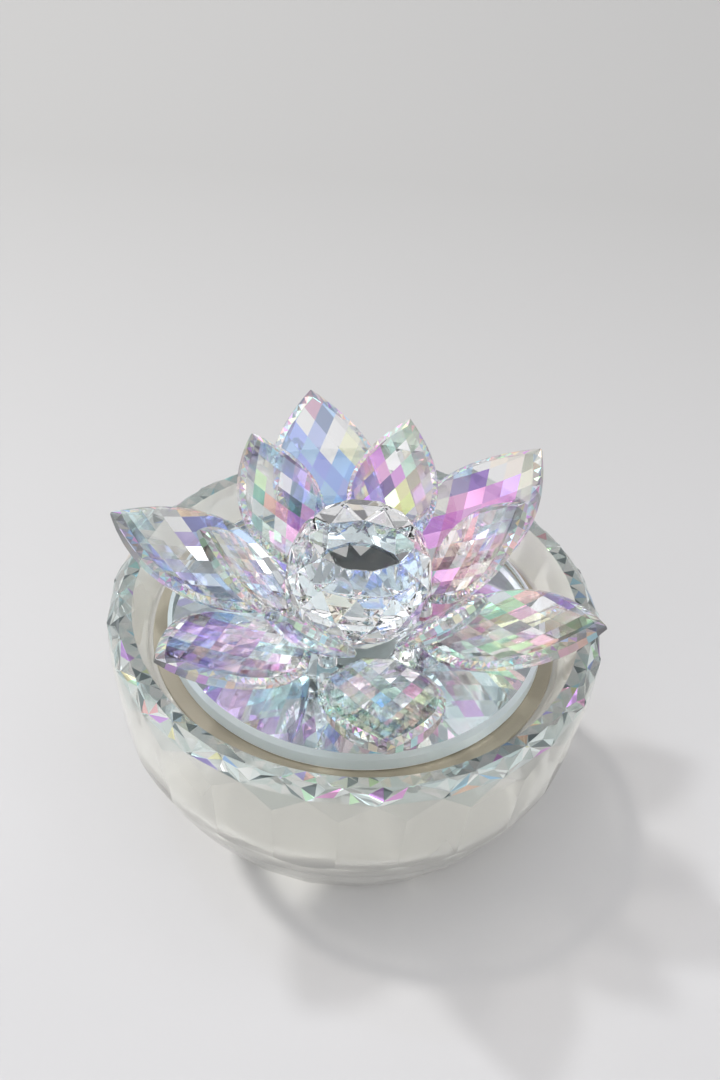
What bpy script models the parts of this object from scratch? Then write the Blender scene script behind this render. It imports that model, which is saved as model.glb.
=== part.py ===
"""A lotus trinket box: a thick crystal bowl with a ground, faceted outside, closed by a
round mirror plate that carries a crystal lotus. Metres, +Z up, origin at the middle of
the bowl's base. Sizes below are in millimetres and are turned to metres by MM."""

import math

import bmesh
import bpy

MM = 0.001
GAP = 0.3

# Bowl: outside
FACETS = 24
RIM_RADIUS = 65.4
RIM_Z = 49.4
TOP_Z = 53.0
TOP_FLAT_RADIUS = 62.2
TRIANGLE_TIP_Z = 42.5
BASE_RADIUS = 49.8
BASE_ARRIS = 0.8
FOOT_SLOPE = 0.68
FOOT_CURVE = 0.0062
FOOT_ROWS = 7

# Bowl: inside
MOUTH_RADIUS = 59.0
LEDGE_Z = 42.7
LEDGE_RADIUS = 55.0
CAVITY_RADIUS = 47.0
FLOOR_Z = 9.0
FLOOR_FILLET = 12.0
LEDGE_FILLET = 1.5
LEDGE_FILLET_END = -15
LEDGE_FILLET_STEPS = 3

# Seat ring on the ledge, and the lid's plate
SEAT_OUTER_RADIUS = 53.2
SEAT_INNER_RADIUS = 47.6
SEAT_THICKNESS = 1.0
PLATE_RADIUS = 49.5
PLATE_THICKNESS = 5.0
PLATE_CHAMFER = 1.2
PLATE_ARRIS = 0.4
BACKING_THICKNESS = 0.4
BACKING_INSET = 0.3
BACKING_ARRIS = 0.1
LOCATING_RADIUS = 46.2
LOCATING_THICKNESS = 3.0

# Ball
BALL_RADIUS = 19.7
BALL_Z = 66.1
BALL_FACETS = 12
BALL_LATITUDES = (45, 23.5, 0, -26)
BALL_GLUE_THICKNESS = 0.4
BALL_GLUE_INSET = 1.0
BALL_GLUE_ARRIS = 0.08

# Petals: size, the root's radius and height, the glue bead's place, foot and top radius,
# then for each petal its root's azimuth, the way it points and its tilt in degrees, as it
# was set by hand
OUTER = {
    "length": 52.0,
    "width": 32.0,
    "thickness": 7.2,
    "root_radius": 18.5,
    "root_z": 52.0,
    "bead": (20.5, 4.0, 3.0),
    "angles": (
        (-69, -86, 20),
        (-17, -17, 23),
        (44, 44, 26.6),
        (105, 106, 26.5),
        (169, 169, 18),
        (223, 223, 24),
    ),
}
INNER = {
    "length": 38.0,
    "width": 24.4,
    "thickness": 5.8,
    "root_radius": 19.0,
    "root_z": 55.8,
    "bead": (18.3, 2.6, 2.0),
    "angles": (
        (15, 15, 50),
        (76, 77, 47),
        (138, 130, 44),
        (195, 192, 51),
        (250, 245, 51),
        (317, 318, 53),
    ),
}
PETAL_EDGE = 2.0
PETAL_BEVEL_DEPTH = 1.0
PETAL_BEVEL_SHARE = 0.11
PETAL_WIDEST = 0.44
PETAL_DOME_CENTRE = 0.5
PETAL_ROOT_SHARE = 0.24
PETAL_FACET_STEPS = 7
PETAL_DOME_REACH = 2
OUTLINE_STEPS = 14

GLUE_CLEARANCE = 0.5
GLUE_STEPS = 16

ROUND_STEPS = 72
FILLET_STEPS = 5
HALF_STEP = 0.5

# How far cutters reach past the bowl's top, and the angles that keep an edge sharp and
# that count as flat, in degrees
BLANK_MARGIN = 1.0
MOUTH_MARGIN = 2.0
SHARP_ANGLE = 25
FLAT_ANGLE = 0.2

# Heights that follow from the ones above
SEAT_BOTTOM_Z = LEDGE_Z + GAP
SEAT_TOP_Z = SEAT_BOTTOM_Z + SEAT_THICKNESS
BACKING_BOTTOM_Z = SEAT_TOP_Z + GAP
BACKING_TOP_Z = BACKING_BOTTOM_Z + BACKING_THICKNESS
PLATE_BOTTOM_Z = BACKING_TOP_Z + GAP
PLATE_TOP_Z = PLATE_BOTTOM_Z + PLATE_THICKNESS
LOCATING_TOP_Z = BACKING_BOTTOM_Z - GAP
GLUE_Z = PLATE_TOP_Z + GAP


def clear_scene():
    for obj in list(bpy.data.objects):
        bpy.data.objects.remove(obj, do_unlink=True)


def material(name, colour, roughness, metallic=0.0, clear=0.0):
    made = bpy.data.materials.new(name)
    made.use_nodes = True
    shader = made.node_tree.nodes["Principled BSDF"]
    shader.inputs["Base Color"].default_value = (*colour, 1.0)
    shader.inputs["Roughness"].default_value = roughness
    shader.inputs["Metallic"].default_value = metallic
    shader.inputs["Transmission Weight"].default_value = clear
    return made


def mesh_from(bm, name):
    """Closes the bmesh into a mesh in metres, with its normals facing out."""
    bmesh.ops.scale(bm, vec=(MM, MM, MM), verts=bm.verts)
    bmesh.ops.recalc_face_normals(bm, faces=bm.faces)
    mesh = bpy.data.meshes.new(name)
    bm.to_mesh(mesh)
    bm.free()
    return mesh


def place(name, mesh, surface, parent=None):
    obj = bpy.data.objects.new(name, mesh)
    bpy.context.scene.collection.objects.link(obj)
    if surface is not None and not mesh.materials:
        mesh.materials.append(surface)
    if parent is not None:
        obj.parent = parent
        obj.matrix_parent_inverse = parent.matrix_world.inverted()
    return obj


def as_guide(obj):
    obj.hide_render = True
    obj.display_type = "WIRE"
    return obj


def cut(obj, other, operation):
    modifier = obj.modifiers.new(other.name, "BOOLEAN")
    modifier.operation = operation
    modifier.object = other
    modifier.solver = "EXACT"


def turned(name, profile, steps=ROUND_STEPS, closed=False):
    """A mesh turned about Z from points (radius, z). A closed profile makes a ring."""
    bm = bmesh.new()
    verts = [bm.verts.new((radius, 0, z)) for radius, z in profile]
    edges = [bm.edges.new(pair) for pair in zip(verts, verts[1:])]
    if closed:
        edges.append(bm.edges.new((verts[-1], verts[0])))
    bmesh.ops.spin(
        bm,
        geom=verts + edges,
        cent=(0, 0, 0),
        axis=(0, 0, 1),
        angle=math.tau,
        steps=steps,
        use_merge=True,
    )
    bmesh.ops.remove_doubles(bm, verts=bm.verts, dist=0.001)
    mesh = mesh_from(bm, name)
    mesh.shade_smooth()
    mesh.set_sharp_from_angle(angle=math.radians(SHARP_ANGLE))
    return mesh


def ring(radius, z, count, turn=0.0):
    """Points evenly round the axis, the first one turned by a share of a step."""
    step = math.tau / count
    angles = [(index + turn) * step for index in range(count)]
    return [(radius * math.cos(a), radius * math.sin(a), z) for a in angles]


def hull(name, points):
    """The convex solid through these points, its coplanar triangles joined to facets."""
    bm = bmesh.new()
    for point in points:
        bm.verts.new(point)
    made = bmesh.ops.convex_hull(bm, input=bm.verts)
    unused = [v for v in made["geom_interior"] if isinstance(v, bmesh.types.BMVert)]
    bmesh.ops.delete(bm, geom=unused, context="VERTS")
    bmesh.ops.dissolve_limit(
        bm, angle_limit=math.radians(FLAT_ANGLE), verts=bm.verts, edges=bm.edges
    )
    return mesh_from(bm, name)


def arc(centre, radius, start, end, steps=FILLET_STEPS):
    """Points (radius, z) along an arc, by angles in degrees."""
    found = []
    for index in range(steps + 1):
        angle = math.radians(start + (end - start) * index / steps)
        found.append(
            (
                centre[0] + radius * math.cos(angle),
                centre[1] + radius * math.sin(angle),
            )
        )
    return found


def bowl_blank():
    """The turned outside of the bowl, which is left showing only on the foot."""
    profile = [(0, 0), (BASE_RADIUS - BASE_ARRIS, 0)]
    top = TRIANGLE_TIP_Z
    for row in range(FOOT_ROWS + 1):
        z = BASE_ARRIS + (top - BASE_ARRIS) * row / FOOT_ROWS
        profile.append((BASE_RADIUS + FOOT_SLOPE * z - FOOT_CURVE * z * z, z))
    above = TOP_Z + BLANK_MARGIN
    profile += [(profile[-1][0], above), (0, above)]
    return turned("bowl_blank", profile)


def bowl_facets():
    """The ground outside: a flat top, a bevel of triangles, a girdle of triangles that
    point down, and tall facets that run down into the foot."""
    half = math.cos(math.pi / FACETS)
    tip_radius = RIM_RADIUS * half
    slope = (RIM_RADIUS - tip_radius * half) / (RIM_Z - TRIANGLE_TIP_Z)
    below = -TOP_Z
    low_radius = (RIM_RADIUS - slope * (RIM_Z - below)) / half
    points = ring(TOP_FLAT_RADIUS / half, TOP_Z, FACETS)
    points += ring(RIM_RADIUS, RIM_Z, FACETS, turn=HALF_STEP)
    points += ring(tip_radius, TRIANGLE_TIP_Z, FACETS)
    points += ring(low_radius, below, FACETS)
    return hull("bowl_facets", points)


def bowl_inside():
    """The cavity, the ledge that the lid sits on, and the wide mouth above it."""
    fillet = arc(
        (CAVITY_RADIUS - FLOOR_FILLET, FLOOR_Z + FLOOR_FILLET), FLOOR_FILLET, -90, 0
    )
    lean = (MOUTH_RADIUS - LEDGE_RADIUS) / (TOP_Z - LEDGE_Z)
    above = TOP_Z + MOUTH_MARGIN
    profile = [(0, FLOOR_Z)] + fillet + [(CAVITY_RADIUS, LEDGE_Z)]
    profile += arc(
        (LEDGE_RADIUS - LEDGE_FILLET, LEDGE_Z + LEDGE_FILLET),
        LEDGE_FILLET,
        -90,
        LEDGE_FILLET_END,
        LEDGE_FILLET_STEPS,
    )
    profile += [(MOUTH_RADIUS + lean * (above - TOP_Z), above), (0, above)]
    return turned("bowl_inside", profile)


def make_bowl(surface):
    bowl = place("crystal_bowl", bowl_blank(), surface)
    facets = as_guide(place("bowl_facets", bowl_facets(), None))
    inside = as_guide(place("bowl_inside", bowl_inside(), None))
    cut(bowl, facets, "INTERSECT")
    cut(bowl, inside, "DIFFERENCE")


def make_seat_ring(surface):
    profile = [
        (SEAT_INNER_RADIUS, SEAT_BOTTOM_Z),
        (SEAT_OUTER_RADIUS, SEAT_BOTTOM_Z),
        (SEAT_OUTER_RADIUS, SEAT_TOP_Z),
        (SEAT_INNER_RADIUS, SEAT_TOP_Z),
    ]
    place("seat_ring", turned("seat_ring", profile, closed=True), surface)


def disc_profile(radius, low, high, top_chamfer, low_chamfer):
    return [
        (0, low),
        (radius - low_chamfer, low),
        (radius, low + low_chamfer),
        (radius, high - top_chamfer),
        (radius - top_chamfer, high),
        (0, high),
    ]


def make_plate(lid, glass, silver, clear):
    plate = disc_profile(
        PLATE_RADIUS, PLATE_BOTTOM_Z, PLATE_TOP_Z, PLATE_CHAMFER, PLATE_ARRIS
    )
    place("mirror_plate", turned("mirror_plate", plate), glass, lid)
    backing_radius = PLATE_RADIUS - PLATE_ARRIS - BACKING_INSET
    backing = disc_profile(
        backing_radius, BACKING_BOTTOM_Z, BACKING_TOP_Z, BACKING_ARRIS, BACKING_ARRIS
    )
    place("mirror_backing", turned("mirror_backing", backing), silver, lid)
    locating = disc_profile(
        LOCATING_RADIUS,
        LOCATING_TOP_Z - LOCATING_THICKNESS,
        LOCATING_TOP_Z,
        PLATE_ARRIS,
        PLATE_CHAMFER,
    )
    place("locating_disc", turned("locating_disc", locating), clear, lid)


def make_ball(lid, crystal, glue):
    flat_z = GLUE_Z + BALL_GLUE_THICKNESS + GAP
    flat_radius = math.sqrt(BALL_RADIUS**2 - (BALL_Z - flat_z) ** 2)
    points = []
    for row, latitude in enumerate(BALL_LATITUDES, start=1):
        angle = math.radians(latitude)
        radius = BALL_RADIUS * math.cos(angle)
        z = BALL_Z + BALL_RADIUS * math.sin(angle)
        points += ring(radius, z, BALL_FACETS, turn=row * HALF_STEP)
    points += ring(flat_radius, flat_z, BALL_FACETS, turn=HALF_STEP)
    place("crystal_ball", hull("crystal_ball", points), crystal, lid)
    film = disc_profile(
        flat_radius - BALL_GLUE_INSET,
        GLUE_Z,
        GLUE_Z + BALL_GLUE_THICKNESS,
        BALL_GLUE_ARRIS,
        BALL_GLUE_ARRIS,
    )
    place("ball_glue", turned("ball_glue", film, steps=ROUND_STEPS // 2), glue, lid)


def leaf_outline(length, width):
    """Half of a leaf, from its blunt root to its point: (distance along, half width)."""
    widest = length * PETAL_WIDEST
    half = width / 2
    found = []
    for index in range(OUTLINE_STEPS + 1):
        share = 1 - index / OUTLINE_STEPS
        found.append(
            (widest * (1 - share), half * (1 - (1 - PETAL_ROOT_SHARE) * share**2))
        )
    for index in range(1, OUTLINE_STEPS + 1):
        share = index / OUTLINE_STEPS
        along = widest + (length - widest) * share
        found.append((along, half * (1 - share**2)))
    return found


def petal_mesh(kind, length, width, thickness):
    """A leaf with a flat, bevelled front, whose back is a dome of diamond facets. The
    diamonds lie on a paraboloid, stepped in proportion to its two half axes, so each one
    is flat."""
    outline = leaf_outline(length, width)
    rim = outline + [(x, -y) for x, y in reversed(outline[:-1])]
    middle = length / 2
    inset = 1 - PETAL_BEVEL_SHARE
    points = [(x, y, -thickness) for x, y in rim]
    points += [(x, y, PETAL_EDGE - PETAL_BEVEL_DEPTH) for x, y in rim]
    points += [(middle + (x - middle) * inset, y * inset, PETAL_EDGE) for x, y in rim]
    leaf = hull(f"{kind}_leaf", points)
    drop = math.sqrt(1 - PETAL_EDGE / thickness)
    centre = length * PETAL_DOME_CENTRE
    reach_x = (length - centre) / drop
    reach_y = width / 2 / drop
    steps = PETAL_FACET_STEPS
    grid = range(-PETAL_DOME_REACH * steps, PETAL_DOME_REACH * steps + 1)
    points = []
    for i in grid:
        for j in grid:
            if (i + j) % 2:
                continue
            u, v = i / steps, j / steps
            z = PETAL_EDGE - thickness * (1 - u * u - v * v)
            points.append((centre + u * reach_x, v * reach_y, z))
    dome = hull(f"{kind}_dome", points)
    blank = place(f"{kind}_blank", leaf, None)
    guide = place(f"{kind}_guide", dome, None)
    cut(blank, guide, "INTERSECT")
    bpy.context.view_layer.update()
    graph = bpy.context.evaluated_depsgraph_get()
    mesh = bpy.data.meshes.new_from_object(blank.evaluated_get(graph))
    mesh.name = kind
    bpy.data.objects.remove(blank, do_unlink=True)
    bpy.data.objects.remove(guide, do_unlink=True)
    return mesh


def glue_bead(name, azimuth, bead, top_z):
    """A drop of clear glue on the plate, under a petal's root."""
    middle, foot_radius, top_radius = bead
    turn = math.radians(azimuth)
    centre_x, centre_y = middle * math.cos(turn), middle * math.sin(turn)
    points = []
    for radius, height in ((foot_radius, GLUE_Z), (top_radius, top_z)):
        for x, y, z in ring(radius, height, GLUE_STEPS):
            points.append((centre_x + x, centre_y + y, z))
    return hull(name, points)


def make_petals(kind, sizes, lid, crystal, glue):
    mesh = petal_mesh(kind, sizes["length"], sizes["width"], sizes["thickness"])
    root_radius, root_z = sizes["root_radius"], sizes["root_z"]
    for index, (azimuth, heading, tilt) in enumerate(sizes["angles"], start=1):
        petal = place(f"{kind}_petal_{index}", mesh, crystal, lid)
        turn, lean = math.radians(azimuth), math.radians(tilt)
        petal.location = (
            root_radius * math.cos(turn) * MM,
            root_radius * math.sin(turn) * MM,
            root_z * MM,
        )
        petal.rotation_euler = (0, -lean, math.radians(heading))

        top_z = root_z - GLUE_CLEARANCE
        bead = glue_bead(f"{kind}_glue_{index}", azimuth, sizes["bead"], top_z)
        place(f"{kind}_glue_{index}", bead, glue, lid)


def main():
    clear_scene()
    clear_crystal = material("clear_crystal", (0.93, 0.96, 0.95), 0.02, clear=1.0)
    rainbow_crystal = material("rainbow_crystal", (0.93, 0.9, 0.96), 0.02, clear=1.0)
    plate_glass = material("plate_glass", (0.8, 0.86, 0.87), 0.03, clear=0.8)
    silver = material("mirror_silver", (0.75, 0.77, 0.78), 0.08, metallic=1.0)
    seat = material("seat_ring_tan", (0.42, 0.34, 0.23), 0.6)
    glue = material("clear_glue", (0.95, 0.95, 0.93), 0.15, clear=0.9)
    lid = bpy.data.objects.new("lid_lift", None)
    bpy.context.scene.collection.objects.link(lid)
    make_bowl(clear_crystal)
    make_seat_ring(seat)
    make_plate(lid, plate_glass, silver, clear_crystal)
    make_ball(lid, clear_crystal, glue)
    make_petals("outer", OUTER, lid, rainbow_crystal, glue)
    make_petals("inner", INNER, lid, rainbow_crystal, glue)


main()
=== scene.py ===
"""The looks of the crystal lotus trinket box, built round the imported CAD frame.

Metres, +Z up, front at -Y. Sizes come from the frame: MM is one CAD millimetre, as
measured on it."""

import math
import random

import bmesh
import bpy
import numpy as np
from mathutils import Matrix, Vector


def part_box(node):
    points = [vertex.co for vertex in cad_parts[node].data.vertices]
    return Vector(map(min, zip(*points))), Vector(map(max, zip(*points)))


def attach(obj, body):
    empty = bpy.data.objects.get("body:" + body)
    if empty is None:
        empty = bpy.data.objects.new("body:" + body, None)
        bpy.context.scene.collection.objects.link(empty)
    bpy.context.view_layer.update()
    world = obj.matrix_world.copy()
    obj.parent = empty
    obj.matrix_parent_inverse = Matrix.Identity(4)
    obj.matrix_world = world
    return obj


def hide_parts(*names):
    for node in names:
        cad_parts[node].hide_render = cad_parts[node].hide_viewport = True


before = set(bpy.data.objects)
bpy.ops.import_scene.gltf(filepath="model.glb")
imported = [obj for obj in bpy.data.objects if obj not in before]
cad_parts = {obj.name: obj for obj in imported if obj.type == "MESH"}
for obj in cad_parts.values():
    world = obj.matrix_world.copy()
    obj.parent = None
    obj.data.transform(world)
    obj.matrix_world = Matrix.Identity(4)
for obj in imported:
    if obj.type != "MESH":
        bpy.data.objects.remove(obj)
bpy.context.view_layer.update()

FACETS = 24
HALF_FACET = math.cos(math.pi / FACETS)
RIM_RADIUS_MM = 65.4
bowl_low, bowl_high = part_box("crystal_bowl")
MM = (bowl_high.x - bowl_low.x) / 2 / HALF_FACET / RIM_RADIUS_MM

# The bowl, in millimetres. An arc is its first and last angle in degrees, and its steps
TOP_Z = bowl_high.z / MM
RIM_Z = TOP_Z - 3.6
TRIANGLE_TIP_Z = RIM_Z - 6.9
TOP_FLAT_RADIUS = RIM_RADIUS_MM - 3.2
BASE_RADIUS = 49.8
BASE_ARRIS = 0.8
BASE_ARC = (-60, -20, 2)
FOOT_SLOPE = 0.68
FOOT_CURVE = 0.0062
FOOT_ROWS = 20
FOOT_FACET_TOP = 9.0
FOOT_FACET_DEPTH = 0.35
MOUTH_RADIUS = 59.0
LEDGE_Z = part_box("seat_ring")[0].z / MM - 0.3
LEDGE_RADIUS = 55.0
LEDGE_FILLET = 1.5
LEDGE_ARC = (-90, -15, 6)
CAVITY_RADIUS = 47.0
FLOOR_Z = 9.0
FLOOR_FILLET = 12.0
FLOOR_ARC = (-90, 0, 14)
TURN_STEPS = 192
# How far the turned body and its guides reach past what is cut off
BODY_SPARE = 1
GUIDE_SPARE = 2

# The rim's small ground facets: how many sectors they are cut from, and how high their
# points are
RIM_FROM_Z = 45.0
BEVEL_SECTORS = 48
BEVEL_POINT = 0.30
BEVEL_FACING = 0.2
TOP_SECTORS = 72
TOP_POINT = 0.16
TOP_FACING = 0.95
SECTOR_START = 0.25
# A facet larger than this, in square millimetres, shows less of the rim's look, and its
# own number stays among the mild ones: from the first, and up to the second more
LARGE_AREA = 30.0
LARGE_RIM = 0.45
LARGE_CUT = (0.3, 0.02)

# The lid and the seat ring, in millimetres
DISC_STEPS = 144
FLAT_FACING = 0.9
PLATE_ARRISES = (1.2, 0.4)
BACKING_ARRISES = (0.1, 0.1)
LOCATING_ARRISES = (0.4, 1.2)
SEAT_INNER = 47.6
SEAT_SOFT = 0.3
SEAT_CORNER_STEPS = 3

# Arrises, in millimetres, and the angle in degrees from which an edge gets one
BOWL_ARRIS = 0.12
BOWL_ARRIS_ANGLE = 10
BALL_ARRIS = 0.12
PETAL_ARRIS = 0.10
CRYSTAL_ARRIS_ANGLE = 12
# The bowl and the discs are shaded smooth over edges up to this angle, in degrees
SMOOTH_ANGLE = 24

# What counts as one point, in millimetres, and as one flat face, in degrees
TURNED_WELD = 0.0005
CAD_WELD = 0.002
HULL_FLAT = 0.2
CAD_FLAT = 0.3
INNER_MARGIN = 0.1

# Camera, in millimetres and degrees
LENS = 80.0
SENSOR_WIDTH = 36.0
DISTANCE = 667.7
ELEVATION = 42.2
ROLL = 4.7
SHIFT_RIGHT = -0.5
SHIFT_UP = 57.8

# Key light: where it stands, seen from the part, and its size
KEY_DIRECTION = (-0.455, 0.41, 0.79)
KEY_DISTANCE = 1.1
KEY_SIZE = 0.09
KEY_POWER = 5.8
KEY_COLOUR = (1.0, 0.99, 0.975)

# What stands round the studio and gives cut glass its contrast: direction, the angles
# at which each thing ends, and its radiance
STUDIO = (
    ((-0.50, 0.50, 0.70), 12, 28, 1.8),
    ((0.75, 0.45, 0.45), 6, 11, 2.4),
    ((-0.85, -0.20, 0.45), 5, 9, 2.4),
    ((0.20, -0.80, 0.55), 5, 9, 2.2),
    ((-0.70, 0.65, 0.25), 5, 9, 2.4),
    ((0.30, 0.30, 0.90), 5, 8, 2.4),
    ((0.70, -0.30, 0.65), 4, 7, 2.4),
    ((-0.30, -0.45, 0.85), 4, 7, 2.4),
    ((0.03, 0.72, 0.70), 10, 15, 0.30),
    ((-0.36, 0.63, 0.70), 8, 13, 0.40),
    ((0.36, 0.62, 0.69), 7, 12, 0.40),
    ((0.15, -0.75, 0.80), 10, 15, 0.25),
    ((0.95, 0.10, 0.30), 6, 10, 0.50),
    ((-0.95, -0.35, 0.25), 6, 10, 0.30),
    ((0.60, -0.60, 0.35), 6, 10, 0.45),
    ((-0.50, -0.80, 0.30), 5, 9, 0.30),
)
# Small cards spread over the sky; every third one is a light
SMALL_CARDS = 34
SMALL_CARD_ANGLES = (2.5, 4.0)
SMALL_CARD_LEVEL = 0.42
SMALL_LIGHT_LEVEL = 2.3
SMALL_LIGHT_EVERY = 3
GOLDEN_ANGLE = 137.508
SKY_HORIZON = 0.99
SKY_OVERHEAD = 0.73
SKY_BLUE = 1.01
CARD_BLUE = 1.03
OVERHEAD_ANGLES = (10, 80)

# The floor's colours near the box and far behind it, where it is darker as painted
# shade for the key's light falling off, and where it turns, in metres
FLOOR_NEAR = ((0.592, 0.590, 0.600), (0.602, 0.598, 0.602))
FLOOR_FAR_PAINTED_SHADE = (0.424, 0.421, 0.416)
FLOOR_TURN_Y = -0.03
FLOOR_TURN_PER_METRE = 3.2
FLOOR_RADIUS = 6.0
FLOOR_SEGMENTS = 96

# How many times light may bounce in all this glass, and where its sparks are cut off
BOUNCES = 24
GLOSSY_BOUNCES = 12
INDIRECT_CLAMP = 6.0


# ---------------------------------------------------------------- small helpers
def link(obj):
    bpy.context.scene.collection.objects.link(obj)
    return obj


def new_object(name, mesh, surface):
    mesh.materials.clear()
    mesh.materials.append(surface)
    return link(bpy.data.objects.new(name, mesh))


def mesh_of(bm, name, scale=1.0):
    bmesh.ops.scale(bm, vec=(scale, scale, scale), verts=bm.verts)
    bmesh.ops.recalc_face_normals(bm, faces=bm.faces)
    mesh = bpy.data.meshes.new(name)
    bm.to_mesh(mesh)
    bm.free()
    return mesh


def turned(name, profile, steps=TURN_STEPS, closed=False):
    """A mesh in metres turned about Z from points (radius, z) in millimetres."""
    bm = bmesh.new()
    verts = [bm.verts.new((radius, 0, z)) for radius, z in profile]
    edges = [bm.edges.new(pair) for pair in zip(verts, verts[1:])]
    if closed:
        edges.append(bm.edges.new((verts[-1], verts[0])))
    bmesh.ops.spin(
        bm,
        geom=verts + edges,
        cent=(0, 0, 0),
        axis=(0, 0, 1),
        angle=math.tau,
        steps=steps,
        use_merge=True,
    )
    bmesh.ops.remove_doubles(bm, verts=bm.verts, dist=TURNED_WELD)
    mesh = mesh_of(bm, name, MM)
    mesh.shade_smooth()
    return mesh


def ring(radius, z, count, turn=0.0):
    step = math.tau / count
    angles = [(index + turn) * step for index in range(count)]
    return [(radius * math.cos(a), radius * math.sin(a), z) for a in angles]


def hull(name, points):
    bm = bmesh.new()
    for point in points:
        bm.verts.new(point)
    made = bmesh.ops.convex_hull(bm, input=bm.verts)
    unused = [v for v in made["geom_interior"] if isinstance(v, bmesh.types.BMVert)]
    bmesh.ops.delete(bm, geom=unused, context="VERTS")
    bmesh.ops.dissolve_limit(
        bm, angle_limit=math.radians(HULL_FLAT), verts=bm.verts, edges=bm.edges
    )
    return mesh_of(bm, name, MM)


def arc(centre, radius, start, end, steps):
    found = []
    for index in range(steps + 1):
        angle = math.radians(start + (end - start) * index / steps)
        found.append(
            (
                centre[0] + radius * math.cos(angle),
                centre[1] + radius * math.sin(angle),
            )
        )
    return found


def evaluated_mesh(obj, name):
    bpy.context.view_layer.update()
    graph = bpy.context.evaluated_depsgraph_get()
    mesh = bpy.data.meshes.new_from_object(obj.evaluated_get(graph))
    mesh.name = name
    return mesh


def bevel(obj, width, angle=CRYSTAL_ARRIS_ANGLE):
    """Fine ground edges, where light catches."""
    made = obj.modifiers.new("edges", "BEVEL")
    made.width = width * MM
    made.limit_method = "ANGLE"
    made.angle_limit = math.radians(angle)
    made.use_clamp_overlap = True


def face_values(mesh, name, values):
    made = mesh.attributes.new(name, "FLOAT", "FACE")
    made.data.foreach_set("value", np.asarray(values, np.float32))


def from_cad(node, name):
    """A CAD node's shape as a clean mesh, with its flat facets whole."""
    bm = bmesh.new()
    bm.from_mesh(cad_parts[node].data)
    bmesh.ops.remove_doubles(bm, verts=bm.verts, dist=CAD_WELD * MM)
    bmesh.ops.dissolve_limit(
        bm, angle_limit=math.radians(CAD_FLAT), verts=bm.verts, edges=bm.edges
    )
    bmesh.ops.recalc_face_normals(bm, faces=bm.faces)
    for face in bm.faces:
        face.smooth = False
    mesh = bpy.data.meshes.new(name)
    bm.to_mesh(mesh)
    bm.free()
    return mesh


def sparkling(mesh, chosen, offset, sectors=0):
    """Cuts each chosen face into a low point of small facets, after splitting it by
    planes through Z."""
    bm = bmesh.new()
    bm.from_mesh(mesh)
    for index in range(sectors // 2):
        angle = math.tau * (index + SECTOR_START) / sectors
        faces = [face for face in bm.faces if chosen(face)]
        parts = dict.fromkeys(faces)
        for face in faces:
            parts.update(dict.fromkeys(face.edges))
            parts.update(dict.fromkeys(face.verts))
        bmesh.ops.bisect_plane(
            bm,
            geom=list(parts),
            plane_no=(math.sin(angle), -math.cos(angle), 0),
            dist=1e-7,
        )
    faces = [face for face in bm.faces if chosen(face)]
    bmesh.ops.poke(bm, faces=faces, offset=offset * MM)
    bm.to_mesh(mesh)
    bm.free()


def in_order(mesh):
    """Sorts a mesh's parts by place, because a Boolean gives them in any order."""

    def place(index):
        return [round(number / MM, 3) for number in mesh.vertices[index].co]

    order = sorted(range(len(mesh.vertices)), key=place)
    points = [tuple(mesh.vertices[index].co) for index in order]
    new_index = {old: new for new, old in enumerate(order)}
    faces = []
    for polygon in mesh.polygons:
        corners = [new_index[index] for index in polygon.vertices]
        first = corners.index(min(corners))
        faces.append(corners[first:] + corners[:first])
    mesh.clear_geometry()
    mesh.from_pydata(points, [], sorted(faces))


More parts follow.
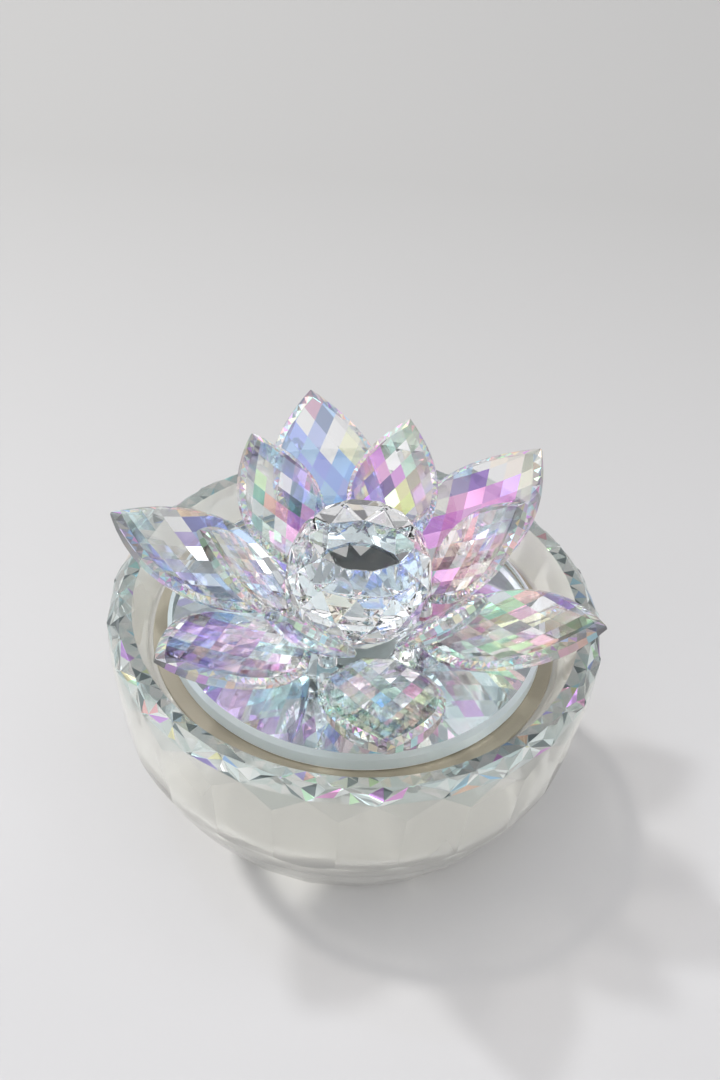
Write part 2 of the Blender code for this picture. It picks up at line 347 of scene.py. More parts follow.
# ---------------------------------------------------------------- material nodes
class Tree:
    """Short calls for building one material's nodes."""

    def __init__(self, name):
        self.material = bpy.data.materials.new(name)
        self.material.use_nodes = True
        self.nodes = self.material.node_tree.nodes
        self.links = self.material.node_tree.links
        self.nodes.clear()

    def add(self, kind, **settings):
        node = self.nodes.new("ShaderNode" + kind)
        for key, value in settings.items():
            setattr(node, key, value)
        return node

    def put(self, socket, value):
        """Sets a number or a colour (r, g, b), or links another socket."""
        if hasattr(value, "is_output"):
            self.links.new(value, socket)
        elif isinstance(value, tuple):
            socket.default_value = (*value, 1.0)
        else:
            socket.default_value = value

    def value(self, name):
        return self.add("Attribute", attribute_name=name).outputs["Fac"]

    def math(self, operation, a, b=0.0, clamp=False):
        node = self.add("Math", operation=operation, use_clamp=clamp)
        self.put(node.inputs[0], a)
        self.put(node.inputs[1], b)
        return node.outputs[0]

    def mix(self, factor, a, b):
        node = self.add("Mix", data_type="RGBA")
        self.put(node.inputs[0], factor)
        self.put(node.inputs[6], a)
        self.put(node.inputs[7], b)
        return node.outputs[2]

    def ramp(self, factor, stops):
        node = self.add("ValToRGB")
        node.color_ramp.interpolation = "LINEAR"
        elements = node.color_ramp.elements
        while len(elements) < len(stops):
            elements.new(0.5)
        for element, (position, colour) in zip(elements, stops):
            element.position = position
            element.color = (*colour, 1.0)
        self.put(node.inputs[0], factor)
        return node.outputs[0]

    def noise(self, scale, detail=2.0):
        place = self.add("TexCoord").outputs["Object"]
        node = self.add("TexNoise")
        self.links.new(place, node.inputs["Vector"])
        node.inputs["Scale"].default_value = scale
        node.inputs["Detail"].default_value = detail
        return node.outputs["Fac"]

    def bump(self, height, strength, distance):
        node = self.add("Bump")
        node.inputs["Strength"].default_value = strength
        node.inputs["Distance"].default_value = distance
        self.put(node.inputs["Height"], height)
        return node.outputs["Normal"]

    def principled(self, **inputs):
        node = self.add("BsdfPrincipled")
        for key, value in inputs.items():
            self.put(node.inputs[key.replace("_", " ")], value)
        return node

    def finish(self, shader, shadow=None):
        """shadow is the tint that a lamp's light keeps as it passes through."""
        out = self.add("OutputMaterial")
        if shadow is None:
            self.links.new(shader.outputs[0], out.inputs[0])
            return self.material
        clear = self.add("BsdfTransparent")
        self.put(clear.inputs[0], shadow)
        mix = self.add("MixShader")
        path = self.add("LightPath")
        self.links.new(path.outputs["Is Shadow Ray"], mix.inputs[0])
        self.links.new(shader.outputs[0], mix.inputs[1])
        self.links.new(clear.outputs[0], mix.inputs[2])
        self.links.new(mix.outputs[0], out.inputs[0])
        return self.material


# The order in which a thin film's colours follow one another
FILM = (
    (0.00, (0.16, 0.36, 0.96)),
    (0.12, (0.38, 0.18, 0.92)),
    (0.25, (0.82, 0.16, 0.86)),
    (0.37, (0.98, 0.36, 0.42)),
    (0.48, (1.00, 0.68, 0.30)),
    (0.59, (0.96, 1.00, 0.40)),
    (0.72, (0.45, 1.00, 0.58)),
    (0.84, (0.38, 0.95, 0.96)),
    (1.00, (0.16, 0.36, 0.96)),
)

# The ball's and petals' crystal: how much of its colour the film reflects where a facet
# is clear, and how much more where it is coloured
FILM_CLEAR = 0.2
FILM_COLOURED = 0.8
RAINBOW_COAT = 0.72

# Depths of fine bump, in metres
FINE_BUMP = 0.0001
GRAIN_BUMP = 0.0002

# The bowl's crystal: limits on each rim facet's own number, "cut", below which a facet
# is painted dark as painted shade and above which it is bright or tinted as a painted
# coloured glint, and how deep the glints' colour is. The spreads multiply "cut", to
# give two more random numbers
PAINTED_SHADE_BELOW = 0.085
BRIGHT_ABOVE = 0.62
PAINTED_GLINT_ABOVE = 0.90
PAINTED_GLINT_DEPTH = 0.7
PALE_SPREAD = 23.0
PAINTED_GLINT_SPREAD = 71.0
BRIGHT_METAL = 0.42
BODY_CLEAR = 0.71
RIM_CLEARER = 0.19
INNER_ROUGHNESS = 0.03


def crystal(name, coat=0.0):
    """Cut crystal with a rainbow film. Faces hold "hue", a place on FILM; "strength",
    how deep that colour is; "shade", how bright the facet is, which paints shade on a
    few petal facets and on the ball's dark foot; and "coated", how much the film
    reflects its colour. On the ball the film's colours are painted coloured glints."""
    t = Tree(name)
    clear = t.mix(t.noise(40.0, 1.0), (0.985, 1.0, 0.99), (1.0, 0.99, 1.0))
    # Painted shade: where "shade" is low, a facet takes this near-black colour.
    shaded = t.mix(t.value("shade"), (0.02, 0.025, 0.027), clear)
    colour = t.mix(t.value("strength"), shaded, t.ramp(t.value("hue"), FILM))
    metal = 0.0
    if coat:
        coloured = t.math("MULTIPLY", t.value("strength"), FILM_COLOURED)
        film = t.math("ADD", coloured, FILM_CLEAR)
        metal = t.math("MULTIPLY", t.math("MULTIPLY", film, t.value("coated")), coat)
    shader = t.principled(
        Base_Color=colour,
        Roughness=0.0,
        IOR=1.56,
        Transmission_Weight=1.0,
        Metallic=metal,
    )
    return t.finish(shader, shadow=(0.65, 0.635, 0.62))


def clear_glass(name, tint, roughness=0.0, ior=1.52):
    t = Tree(name)
    colour = t.mix(t.noise(30.0), tint, (1.0, 1.0, 1.0))
    shader = t.principled(
        Base_Color=colour,
        Roughness=roughness,
        IOR=ior,
        Transmission_Weight=1.0,
    )
    return t.finish(shader, shadow=(0.97, 0.97, 0.965))


def bowl_glass():
    """Clear crystal with a faint warm body. "rim" is 1 on the rim's small facets, and
    "cut" is each facet's own number: some are bright, a few are painted dark as painted
    shade, a few are tinted as painted coloured glints, and most are pale blue. "inner"
    is 1 on the inside."""
    t = Tree("bowl_crystal")
    rim, cut = t.value("rim"), t.value("cut")
    body = t.mix(t.noise(24.0), (0.990, 0.985, 0.935), (1.0, 0.998, 0.955))
    other = t.math("FRACT", t.math("MULTIPLY", cut, PALE_SPREAD))
    pale = t.mix(other, (0.60, 0.79, 0.80), (0.97, 1.0, 0.99))
    # Painted shade: rim facets with the lowest numbers take a near-black blue colour.
    pale = t.mix(t.math("LESS_THAN", cut, PAINTED_SHADE_BELOW), pale, (0.10, 0.15, 0.17))
    # Painted coloured glints: rim facets with the highest numbers take a colour from
    # FILM.
    painted_glint = t.ramp(t.math("FRACT", t.math("MULTIPLY", cut, PAINTED_GLINT_SPREAD)), FILM)
    coloured = t.math("GREATER_THAN", cut, PAINTED_GLINT_ABOVE)
    coloured = t.math("MULTIPLY", coloured, PAINTED_GLINT_DEPTH)
    colour = t.mix(rim, body, t.mix(coloured, pale, painted_glint))
    bright = t.math("MULTIPLY", t.math("GREATER_THAN", cut, BRIGHT_ABOVE), rim)
    clearer = t.math("MULTIPLY", rim, RIM_CLEARER)
    shader = t.principled(
        Base_Color=colour,
        Roughness=t.math("MULTIPLY", t.value("inner"), INNER_ROUGHNESS),
        IOR=1.54,
        Transmission_Weight=t.math("ADD", BODY_CLEAR, clearer),
        Metallic=t.math("MULTIPLY", bright, BRIGHT_METAL),
    )
    return t.finish(shader, shadow=(0.965, 0.96, 0.95))


def ground_edge():
    """The plate's ground edge: frosted, pale blue-grey."""
    t = Tree("plate_edge")
    colour = t.mix(t.noise(120.0, 3.0), (0.66, 0.77, 0.80), (0.77, 0.84, 0.86))
    shader = t.principled(
        Base_Color=colour,
        Roughness=0.35,
        IOR=1.52,
        Transmission_Weight=0.35,
        Normal=t.bump(t.noise(700.0), 0.3, FINE_BUMP),
    )
    return t.finish(shader, shadow=(0.7, 0.72, 0.72))


def milky_glue():
    """The thick glue under the ball, which has gone milky."""
    t = Tree("milky_glue")
    colour = t.mix(t.noise(150.0), (0.84, 0.85, 0.85), (0.93, 0.94, 0.94))
    shader = t.principled(
        Base_Color=colour,
        Roughness=0.25,
        IOR=1.47,
        Transmission_Weight=0.4,
        Normal=t.bump(t.noise(400.0), 0.2, FINE_BUMP),
    )
    return t.finish(shader, shadow=(0.90, 0.90, 0.89))


def silver():
    t = Tree("mirror_silver")
    colour = t.mix(t.noise(40.0, 3.0), (0.86, 0.89, 0.91), (0.93, 0.94, 0.95))
    shader = t.principled(Base_Color=colour, Metallic=1.0, Roughness=0.02)
    return t.finish(shader, shadow=(0.92, 0.92, 0.91))


def back_paint():
    """The pale paint that covers the silvering from below."""
    t = Tree("mirror_back_paint")
    colour = t.mix(t.noise(60.0, 3.0), (0.84, 0.84, 0.82), (0.90, 0.90, 0.89))
    shader = t.principled(
        Base_Color=colour,
        Roughness=0.5,
        Normal=t.bump(t.noise(800.0), 0.2, FINE_BUMP),
    )
    return t.finish(shader, shadow=(0.90, 0.90, 0.89))


def seat_tan_with_painted_shade():
    t = Tree("seat_ring_tan")
    # Brownish beige, darkened overall as painted shade for the plate's shadow on the
    # ring's front.
    colour = t.mix(t.noise(60.0), (0.29, 0.258, 0.195), (0.39, 0.362, 0.29))
    shader = t.principled(
        Base_Color=colour,
        Roughness=0.7,
        Normal=t.bump(t.noise(900.0, 3.0), 0.4, GRAIN_BUMP),
    )
    return t.finish(shader)


# ---------------------------------------------------------------- the bowl
def bowl_profile():
    centre = (BASE_RADIUS - BASE_ARRIS, BASE_ARRIS)
    profile = [(0, 0), (BASE_RADIUS - BASE_ARRIS, 0)]
    profile += arc(centre, BASE_ARRIS, *BASE_ARC)
    for row in range(FOOT_ROWS + 1):
        z = BASE_ARRIS + (TRIANGLE_TIP_Z - BASE_ARRIS) * row / FOOT_ROWS
        profile.append((BASE_RADIUS + FOOT_SLOPE * z - FOOT_CURVE * z * z, z))
    top = TOP_Z + BODY_SPARE
    return profile + [(profile[-1][0], top), (0, top)]


def inside_profile():
    lean = (MOUTH_RADIUS - LEDGE_RADIUS) / (TOP_Z - LEDGE_Z)
    above = TOP_Z + GUIDE_SPARE
    floor_centre = (CAVITY_RADIUS - FLOOR_FILLET, FLOOR_Z + FLOOR_FILLET)
    ledge_centre = (LEDGE_RADIUS - LEDGE_FILLET, LEDGE_Z + LEDGE_FILLET)
    profile = [(0, FLOOR_Z)] + arc(floor_centre, FLOOR_FILLET, *FLOOR_ARC)
    profile += [(CAVITY_RADIUS, LEDGE_Z)] + arc(ledge_centre, LEDGE_FILLET, *LEDGE_ARC)
    return profile + [(MOUTH_RADIUS + lean * (above - TOP_Z), above), (0, above)]


def facet_points():
    """Corners of the solid whose faces are the rim's bevel, its triangles and the tall
    facets."""
    tip_radius = RIM_RADIUS_MM * HALF_FACET
    slope = (RIM_RADIUS_MM - tip_radius * HALF_FACET) / (RIM_Z - TRIANGLE_TIP_Z)
    low_radius = (RIM_RADIUS_MM - slope * (RIM_Z + TOP_Z)) / HALF_FACET
    points = ring(TOP_FLAT_RADIUS / HALF_FACET, TOP_Z, FACETS)
    points += ring(RIM_RADIUS_MM, RIM_Z, FACETS, turn=0.5)
    points += ring(tip_radius, TRIANGLE_TIP_Z, FACETS)
    points += ring(low_radius, -TOP_Z, FACETS)
    return points


def foot_points():
    low_radius = BASE_RADIUS - FOOT_FACET_DEPTH
    rise = (FOOT_SLOPE - FOOT_CURVE * FOOT_FACET_TOP) * FOOT_FACET_TOP
    slope = (BASE_RADIUS + rise - low_radius) / FOOT_FACET_TOP
    points = []
    for z in (-BASE_ARRIS, TOP_Z + GUIDE_SPARE):
        points += ring((low_radius + slope * z) / HALF_FACET, z, FACETS, turn=0.5)
    return points


def on_bevel(face):
    centre = face.calc_center_median()
    return (
        BEVEL_FACING < face.normal.z < TOP_FACING
        and centre.z > RIM_Z * MM
        and centre.xy.length > MOUTH_RADIUS * MM
    )


def on_top(face):
    return face.normal.z > TOP_FACING and face.calc_center_median().z > RIM_Z * MM


def number_at(point):
    """A place's own random number, whatever the order in which faces come."""
    place = " ".join(f"{coordinate / MM:.1f}" for coordinate in point)
    return random.Random(place).random()


def bowl_facets(mesh):
    """Gives each face the values that the bowl's material reads."""
    rim, inner, cut = [], [], []
    for polygon in mesh.polygons:
        radius, z = polygon.center.xy.length / MM, polygon.center.z / MM
        on_rim = z > RIM_FROM_Z and radius > MOUTH_RADIUS
        small = polygon.area < LARGE_AREA * MM * MM
        least, more = (0.0, 1.0) if small else LARGE_CUT
        rim.append(float(on_rim) * (1.0 if small else LARGE_RIM))
        cut.append(least + more * number_at(polygon.center))
        in_cavity = radius < CAVITY_RADIUS + INNER_MARGIN and z > FLOOR_Z - INNER_MARGIN
        inner.append(float(in_cavity))
    face_values(mesh, "rim", rim)
    face_values(mesh, "inner", inner)
    face_values(mesh, "cut", cut)


def make_bowl(surface):
    """A turned body, cut to shape by its facets' planes, its foot's and its inside."""
    bowl = new_object("bowl_body", turned("bowl_body", bowl_profile()), surface)
    facets = new_object("facets_guide", hull("facets_guide", facet_points()), surface)
    inside = turned("inside_guide", inside_profile())
    inside = new_object("inside_guide", inside, surface)
    foot = new_object("foot_guide", hull("foot_guide", foot_points()), surface)
    guides = ((facets, "INTERSECT"), (foot, "INTERSECT"), (inside, "DIFFERENCE"))
    for other, operation in guides:
        modifier = bowl.modifiers.new(other.name, "BOOLEAN")
        modifier.operation = operation
        modifier.object = other
        modifier.solver = "EXACT"
    mesh = evaluated_mesh(bowl, "bowl_body")
    bowl.modifiers.clear()
    bowl.data = mesh
    for guide, _ in guides:
        bpy.data.objects.remove(guide, do_unlink=True)
    in_order(mesh)
    sparkling(mesh, on_bevel, BEVEL_POINT, BEVEL_SECTORS)
    sparkling(mesh, on_top, TOP_POINT, TOP_SECTORS)
    in_order(mesh)
    mesh.set_sharp_from_angle(angle=math.radians(SMOOTH_ANGLE))
    bowl_facets(mesh)
    bevel(bowl, BOWL_ARRIS, BOWL_ARRIS_ANGLE)
    return bowl


# ---------------------------------------------------------------- lid
def is_edge(polygon):
    return abs(polygon.normal.z) < FLAT_FACING


def is_low(polygon):
    return polygon.normal.z < FLAT_FACING


def disc(name, node, arrises, surface, edge=None, low=None):
    """A disc of a CAD node's size. Its edge, or all but its top, may differ."""
    top_arris, low_arris = arrises
    lowest, highest = (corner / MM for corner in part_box(node))
    radius = highest.x
    profile = [(0, lowest.z)]
    profile += [(radius - low_arris, lowest.z), (radius, lowest.z + low_arris)]
    profile += [(radius, highest.z - top_arris), (radius - top_arris, highest.z)]
    profile += [(0, highest.z)]
    mesh = turned(name, profile, DISC_STEPS)
    mesh.set_sharp_from_angle(angle=math.radians(SMOOTH_ANGLE))
    obj = new_object(name, mesh, surface)
    for other, chosen in ((edge, is_edge), (low, is_low)):
        if other is None:
            continue
        mesh.materials.append(other)
        for polygon in mesh.polygons:
            if chosen(polygon):
                polygon.material_index = len(mesh.materials) - 1
    return obj


def make_seat(surface):
    low, high = (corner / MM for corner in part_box("seat_ring"))
    inner, outer = SEAT_INNER + SEAT_SOFT, high.x - SEAT_SOFT
    bottom, top = low.z + SEAT_SOFT, high.z - SEAT_SOFT
    corners = ((inner, bottom), (outer, bottom), (outer, top), (inner, top))
    profile = []
    for corner, start in zip(corners, (180, 270, 0, 90)):
        profile += arc(corner, SEAT_SOFT, start, start + 90, SEAT_CORNER_STEPS)
    mesh = turned("seat_ring_tan", profile, closed=True)
    return new_object("seat_ring_tan", mesh, surface)


# Each petal's film: the share of its facets that sparkle in any colour, and patches of
# one colour: place along (0 root, 1 tip) and across (1 on the right, looking outwards),
# reach, colour and depth
BLUE, VIOLET, MAGENTA, PINK, ORANGE, YELLOW, GREEN, CYAN = (
    position for position, _ in FILM[:-1]
)
PETAL_FILM = {
    "outer_petal_1": (
        0.45,
        (
            (0.30, 0.3, 0.15, PINK, 0.5),
            (0.60, -0.5, 0.25, ORANGE, 0.65),
            (0.75, 0.3, 0.28, YELLOW, 0.65),
            (0.45, 0.8, 0.20, CYAN, 0.5),
            (0.30, -0.2, 0.15, GREEN, 0.5),
        ),
    ),
    "outer_petal_2": (
        0.25,
        (
            (0.35, -0.8, 0.18, GREEN, 0.9),
            (0.50, -0.8, 0.18, PINK, 0.8),
            (0.65, -0.8, 0.18, VIOLET, 0.9),
            (0.95, 0.0, 0.12, BLUE, 0.8),
            (0.80, 0.3, 0.15, ORANGE, 0.5),
        ),
    ),
    "outer_petal_3": (
        0.35,
        (
            (0.25, 0.4, 0.3, PINK, 0.9),
            (0.45, 0.0, 0.4, MAGENTA, 0.85),
            (0.60, -0.2, 0.3, VIOLET, 0.9),
            (0.85, 0.5, 0.35, YELLOW, 0.4),
            (0.90, -0.4, 0.3, ORANGE, 0.35),
        ),
    ),
    "outer_petal_4": (
        0.30,
        (
            (0.95, 0.1, 0.12, PINK, 0.5),
            (0.70, 0.9, 0.25, YELLOW, 0.6),
            (0.50, -0.9, 0.25, VIOLET, 0.9),
            (0.40, -0.1, 0.5, BLUE, 0.9),
            (0.70, 0.0, 0.5, BLUE, 0.8),
        ),
    ),
    "outer_petal_5": (
        0.16,
        (
            (0.62, 0.9, 0.12, ORANGE, 0.6),
            (0.45, 0.7, 0.26, BLUE, 0.8),
            (0.60, 0.3, 0.12, VIOLET, 0.6),
            (0.95, 0.0, 0.3, CYAN, 0.5),
            (0.75, -0.4, 0.2, GREEN, 0.3),
        ),
    ),
    "outer_petal_6": (
        0.50,
        (
            (0.55, 0.8, 0.3, VIOLET, 0.9),
            (0.40, 0.4, 0.25, MAGENTA, 0.6),
            (0.55, -0.7, 0.35, ORANGE, 0.5),
            (0.85, -0.3, 0.3, YELLOW, 0.6),
            (0.25, 0.0, 0.3, CYAN, 0.5),
        ),
    ),
    "inner_petal_1": (
        0.40,
        (
            (0.50, 0.3, 0.35, ORANGE, 0.45),
            (0.75, -0.4, 0.3, CYAN, 0.5),
            (0.20, 0.0, 0.2, MAGENTA, 0.7),
        ),
    ),
    "inner_petal_2": (
        0.35,
        (
            (0.42, 0.2, 0.20, YELLOW, 0.95),
            (0.35, -0.5, 0.35, VIOLET, 0.9),
            (0.62, -0.2, 0.22, MAGENTA, 0.8),
            (0.60, 0.8, 0.35, ORANGE, 0.5),
            (0.85, 0.0, 0.3, GREEN, 0.5),
        ),
    ),
    "inner_petal_3": (
        0.30,
        (
            (0.25, 0.3, 0.25, MAGENTA, 0.85),
            (0.40, 0.0, 0.2, PINK, 0.8),
            (0.45, 0.8, 0.3, GREEN, 0.5),
        ),
    ),
    "inner_petal_4": (0.25, ((0.55, 0.4, 0.3, YELLOW, 0.5),)),
    "inner_petal_5": (0.35, ((0.7, 0.0, 0.4, CYAN, 0.5),)),
    "inner_petal_6": (0.35, ((0.7, 0.0, 0.4, CYAN, 0.5),)),
}
# A clear facet of the back may be white: its share, and how much it reflects
WHITE_SHARE = 0.36
WHITE_COAT = 5.5
# The bevel's small facets
EDGE_SHARE = 0.50
EDGE_DEPTH = 0.8
EDGE_COAT = 1.3
EDGE_POINT = 0.07
# Facings along the front's normal: above the first a face is the front, and above the
# second the bevel. What is between the third and the first is cut into small facets
FRONT_FACING = 0.999
EDGE_FACING = -0.1
POKED_FACING = 0.1
# A facet darkened as painted shade: its share, and its brightness at least and as it
# grows with the draw
PAINTED_SHADE_SHARE = 0.09
PAINTED_SHADE_LEAST = 0.25
PAINTED_SHADE_RISE = 3.5
# A patch is stretched across the petal, and leaves out a few facets
PATCH_ALONG = 1.6
PATCH_ACROSS = 0.6
PATCH_SHARE = 0.86
PATCH_DEPTH = (0.75, 0.25)
HUE_JITTER = 0.05
STRAY_FROM = 0.16
STRAY_DEPTH = (0.25, 0.55)


def facet_colour(draw, along, across, share, patches):
    """A facet's place on FILM, the depth of its colour, and its brightness, which is
    lowered on a few facets as painted shade.
    """
    jitter = draw.uniform(-HUE_JITTER, HUE_JITTER)
    taken, depth, stray, dim = (draw.random() for _ in range(4))
    # Painted shade: a few facets are made darker.
    shade = PAINTED_SHADE_LEAST + PAINTED_SHADE_RISE * dim if dim < PAINTED_SHADE_SHARE else 1.0
    for place, side, reach, hue, deep in patches:
        distance = math.hypot(
            (along - place) * PATCH_ALONG, (across - side) * PATCH_ACROSS
        )
        if distance < reach and taken < PATCH_SHARE:
            least, more = PATCH_DEPTH
            return (hue + jitter) % 1.0, deep * (least + more * depth), shade
    if taken < share:
        least, more = STRAY_DEPTH
        return STRAY_FROM + (1 - STRAY_FROM) * stray, least + more * depth, shade
    return stray, 0.0, shade


def colour_faces(mesh, colours, coated):
    hues, strengths, shades = zip(*colours)
    face_values(mesh, "hue", hues)
    face_values(mesh, "strength", strengths)
    face_values(mesh, "shade", shades)
    face_values(mesh, "coated", coated)


def make_petal(node, surface):
    """The CAD petal's facets, each with its film's colour. Its flat front stays clear,
    and the bevel round it sparkles."""
    mesh = from_cad(node, node + "_crystal")
    largest = max(mesh.polygons, key=lambda polygon: polygon.area)
    front = np.array(largest.normal)
    points = np.array([v.co for v in mesh.vertices])
    flat = points - np.outer(points @ front, front)
    middle = flat.mean(0)
    _, _, axes = np.linalg.svd(flat - middle, full_matrices=False)
    outwards = axes[0] @ (middle * (1, 1, 0)) > 0
    long_axis = axes[0] * (1 if outwards else -1)
    side_axis = np.cross(long_axis, front)
    along = (flat - middle) @ long_axis
    root, tip = along.min(), along.max()
    half_width = abs((flat - middle) @ side_axis).max()
    share, patches = PETAL_FILM[node]
    draw = random.Random(node)

    def is_poked(face):
        return POKED_FACING < np.array(face.normal) @ front < FRONT_FACING

    sparkling(mesh, is_poked, EDGE_POINT)
    colours, coated = [], []
    for polygon in mesh.polygons:
        centre = np.array(polygon.center) - middle
        length = (centre @ long_axis - root) / (tip - root)
        side = centre @ side_axis / half_width
        facing = np.array(polygon.normal) @ front
        if facing > FRONT_FACING:
            colours.append((0.0, 0.0, 1.0))
        elif facing > EDGE_FACING:
            hue, strength, _ = facet_colour(draw, length, side, EDGE_SHARE, ())
            colours.append((hue, strength * EDGE_DEPTH, 1.0))
        else:
            colours.append(facet_colour(draw, length, side, share, patches))
        white = draw.random() < WHITE_SHARE and colours[-1][1] == 0.0
        coat = WHITE_COAT if white else 1.0
        if facing > EDGE_FACING:
            coat = EDGE_COAT
        coated.append(coat * float(facing < FRONT_FACING))
    colour_faces(mesh, colours, coated)
    obj = new_object(mesh.name, mesh, surface)
    bevel(obj, PETAL_ARRIS)
    return obj


# The ball: the share of its facets tinted as painted coloured glints, and its foot,
# painted dark as painted shade, with lighter teeth. The foot is what faces down more
# than BALL_FOOT
BALL_PAINTED_GLINT_SHARE = 0.08
BALL_FOOT = -0.9
FOOT_TEETH = 6
FOOT_TOOTH_FROM = 0.7
FOOT_TOOTH_PAINTED_SHADE = 0.6


def make_ball(surface):
    """The ball's foot is painted dark as painted shade, but for lighter teeth round it,
    and the table shows it. A few facets are tinted as painted coloured glints.
    """
    mesh = from_cad("crystal_ball", "ball_crystal")
    for _ in range(2):
        sparkling(mesh, lambda face: face.normal.z < BALL_FOOT, 0.0)
    foot = [p for p in mesh.polygons if p.normal.z < BALL_FOOT]
    reach = max(mesh.vertices[v].co.xy.length for p in foot for v in p.vertices)
    draw = random.Random("ball")
    colours = []
    for polygon in mesh.polygons:
        # Painted coloured glints: a few facets are tinted with a colour from FILM.
        hue, strength, _ = facet_colour(draw, 0, 0, BALL_PAINTED_GLINT_SHARE, ())
        shade = 1.0
        # Painted shade: the foot is painted dark, with lighter teeth round it, so that
        # the table shows a dark lens.
        if polygon.normal.z < BALL_FOOT:
            x, y, _ = polygon.center / reach
            turn = math.atan2(y, x) / math.tau * FOOT_TEETH * 2
            tooth = math.hypot(x, y) > FOOT_TOOTH_FROM and math.floor(turn) % 2
            shade = FOOT_TOOTH_PAINTED_SHADE if tooth else 0.0
        colours.append((hue, strength, shade))
    colour_faces(mesh, colours, [0.0] * len(colours))
    obj = new_object(mesh.name, mesh, surface)
    bevel(obj, BALL_ARRIS)
    return obj


def settle(obj, body, slot, *nodes):
    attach(obj, body)
    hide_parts(*nodes)


# ---------------------------------------------------------------- stage
def make_stage():
    t = Tree("paper_floor")
    near = t.mix(t.noise(1.2, 1.0), *FLOOR_NEAR)
    split = t.add("SeparateXYZ")
    t.links.new(t.add("TexCoord").outputs["Object"], split.inputs[0])
    # Painted shade: the floor grows darker towards the back, as if the key's light fell
    # off.
    behind = t.math("ADD", split.outputs[1], -FLOOR_TURN_Y)
    behind = t.math("MULTIPLY", behind, FLOOR_TURN_PER_METRE, clamp=True)
    colour = t.mix(behind, near, FLOOR_FAR_PAINTED_SHADE)
    shader = t.principled(Base_Color=colour, Roughness=0.6, Specular_IOR_Level=0.2)
    surface = t.finish(shader)
    bm = bmesh.new()
    bmesh.ops.create_circle(
        bm, cap_ends=True, segments=FLOOR_SEGMENTS, radius=FLOOR_RADIUS
    )
    floor = new_object("floor", mesh_of(bm, "floor"), surface)
    if floor.data.polygons[0].normal.z < 0:
        floor.data.flip_normals()


def make_world():
    world = bpy.data.worlds.new("studio")
    bpy.context.scene.world = world
    world.use_nodes = True
    nodes, links = world.node_tree.nodes, world.node_tree.links
    nodes.clear()
    out = nodes.new("ShaderNodeOutputWorld")
    background = nodes.new("ShaderNodeBackground")
    links.new(background.outputs[0], out.inputs[0])
    coordinate = nodes.new("ShaderNodeTexCoord")

    def patch(direction, inner, outer):
        """1 within the angle inner of a direction, falling to 0 at outer."""
        dot = nodes.new("ShaderNodeVectorMath")
        dot.operation = "DOT_PRODUCT"
        dot.inputs[1].default_value = Vector(direction).normalized()
        links.new(coordinate.outputs["Generated"], dot.inputs[0])
        limit = nodes.new("ShaderNodeMapRange")
        limit.interpolation_type = "SMOOTHSTEP"
        limit.inputs["From Min"].default_value = math.cos(math.radians(outer))
        limit.inputs["From Max"].default_value = math.cos(math.radians(inner))
        links.new(dot.outputs["Value"], limit.inputs["Value"])
        return limit.outputs[0]

    def blend(factor, below, colour):
        mix = nodes.new("ShaderNodeMix")
        mix.data_type = "RGBA"
        links.new(factor, mix.inputs[0])
        if isinstance(below, tuple):
            mix.inputs[6].default_value = (*below, 1.0)
        else:
            links.new(below, mix.inputs[6])
        mix.inputs[7].default_value = (*colour, 1.0)
        return mix.outputs[2]

    def grey(level, blue):
        return (level, level, level * blue)

    sky = blend(
        patch((0, 0, 1), *OVERHEAD_ANGLES),
        grey(SKY_HORIZON, SKY_BLUE),
        grey(SKY_OVERHEAD, SKY_BLUE),
    )
    cards = []
    for index in range(SMALL_CARDS):
        z = 1 - (index + 0.5) / SMALL_CARDS
        turn = math.radians(index * GOLDEN_ANGLE)
        flat = math.sqrt(1 - z * z)
        spot = (flat * math.cos(turn), flat * math.sin(turn), z)
        level = SMALL_CARD_LEVEL if index % SMALL_LIGHT_EVERY else SMALL_LIGHT_LEVEL
        cards.append((spot, *SMALL_CARD_ANGLES, level))
    for direction, inner, outer, level in (*cards, *STUDIO):
        sky = blend(patch(direction, inner, outer), sky, grey(level, CARD_BLUE))
    links.new(sky, background.inputs[0])
    background.inputs[1].default_value = 1.0


def make_key():
    data = bpy.data.lights.new("key", "AREA")
    data.shape = "DISK"
    data.size = KEY_SIZE
    data.energy = KEY_POWER
    data.color = KEY_COLOUR
    key = link(bpy.data.objects.new("key", data))
    direction = Vector(KEY_DIRECTION).normalized()
    key.location = direction * KEY_DISTANCE
    key.rotation_mode = "QUATERNION"
    key.rotation_quaternion = direction.to_track_quat("Z", "Y")


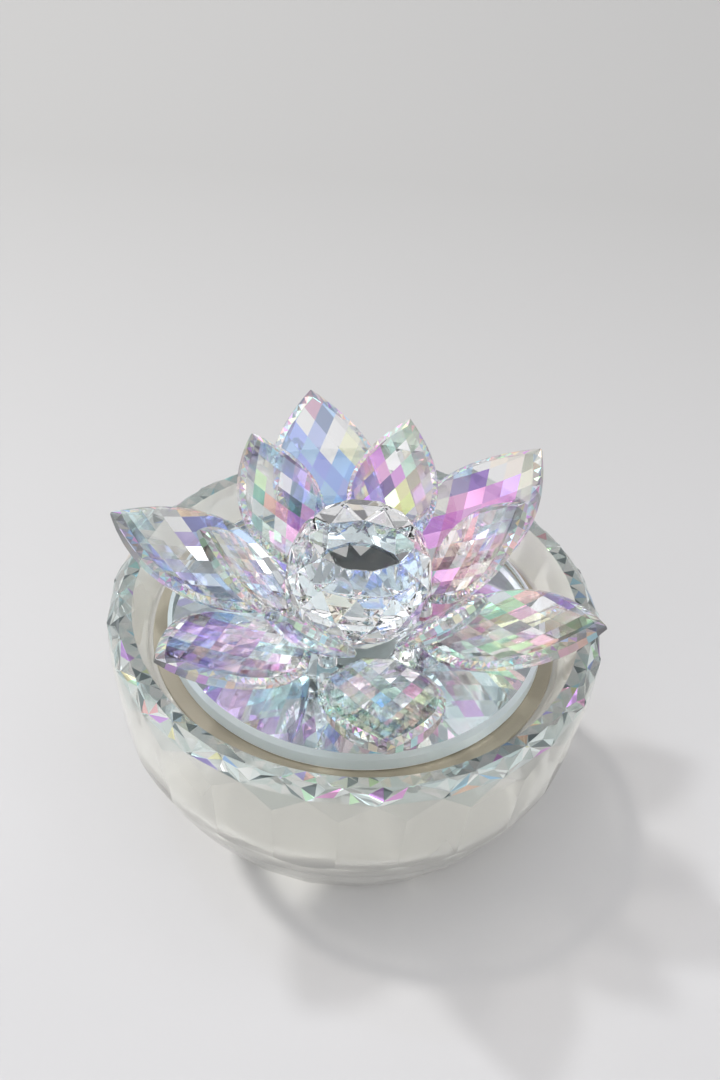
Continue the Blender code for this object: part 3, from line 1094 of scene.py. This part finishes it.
def make_camera():
    tilt, roll = math.radians(ELEVATION), math.radians(ROLL)
    back = Vector((0, -math.cos(tilt), math.sin(tilt)))
    right = Vector((1, 0, 0))
    up = Vector((0, math.sin(tilt), math.cos(tilt)))
    place = back * DISTANCE + right * SHIFT_RIGHT + up * SHIFT_UP
    side = right * math.cos(roll) + up * math.sin(roll)
    top = up * math.cos(roll) - right * math.sin(roll)
    data = bpy.data.cameras.new("camera")
    data.lens = LENS
    data.sensor_width = SENSOR_WIDTH
    data.sensor_fit = "AUTO"
    data.clip_start, data.clip_end = 0.01, 50.0
    camera = link(bpy.data.objects.new("camera", data))
    matrix = Matrix((side, top, back)).transposed().to_4x4()
    matrix.translation = place * MM
    camera.matrix_world = matrix
    bpy.context.scene.camera = camera


def main():
    rainbow = crystal("rainbow_crystal", coat=RAINBOW_COAT)
    ball_glass = crystal("ball_crystal")
    bowl_surface = bowl_glass()
    plate = clear_glass("plate_glass", (0.90, 0.97, 0.98))
    disc_glass = clear_glass("clear_glass", (0.97, 0.98, 0.98))
    glue = clear_glass("clear_glue", (0.97, 0.97, 0.96), roughness=0.02, ior=1.47)
    milky = milky_glue()
    mirror = silver()
    paint = back_paint()
    tan = seat_tan_with_painted_shade()

    settle(make_bowl(bowl_surface), "bowl", "clear_crystal", "crystal_bowl")
    settle(make_seat(tan), "bowl", "seat_ring", "seat_ring")
    edge = ground_edge()
    plate_disc = disc("plate_disc", "mirror_plate", PLATE_ARRISES, plate, edge)
    settle(plate_disc, "lid", "plate_glass", "mirror_plate")
    back_disc = disc(
        "silver_disc", "mirror_backing", BACKING_ARRISES, mirror, low=paint
    )
    settle(back_disc, "lid", "mirror_silver", "mirror_backing")
    low_disc = disc("locating_glass", "locating_disc", LOCATING_ARRISES, disc_glass)
    settle(low_disc, "lid", "clear_crystal", "locating_disc")
    settle(make_ball(ball_glass), "lid", "clear_crystal", "crystal_ball")
    for node in PETAL_FILM:
        settle(make_petal(node, rainbow), "lid", "rainbow_crystal", node)
    for name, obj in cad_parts.items():
        if "glue" in name:
            obj.data.materials.clear()
            obj.data.materials.append(milky if name == "ball_glue" else glue)

    make_stage()
    make_world()
    make_key()
    make_camera()
    scene = bpy.context.scene
    scene.view_settings.view_transform = "Standard"
    scene.cycles.max_bounces = BOUNCES
    scene.cycles.transmission_bounces = BOUNCES
    scene.cycles.glossy_bounces = GLOSSY_BOUNCES
    scene.cycles.sample_clamp_indirect = INDIRECT_CLAMP


main()
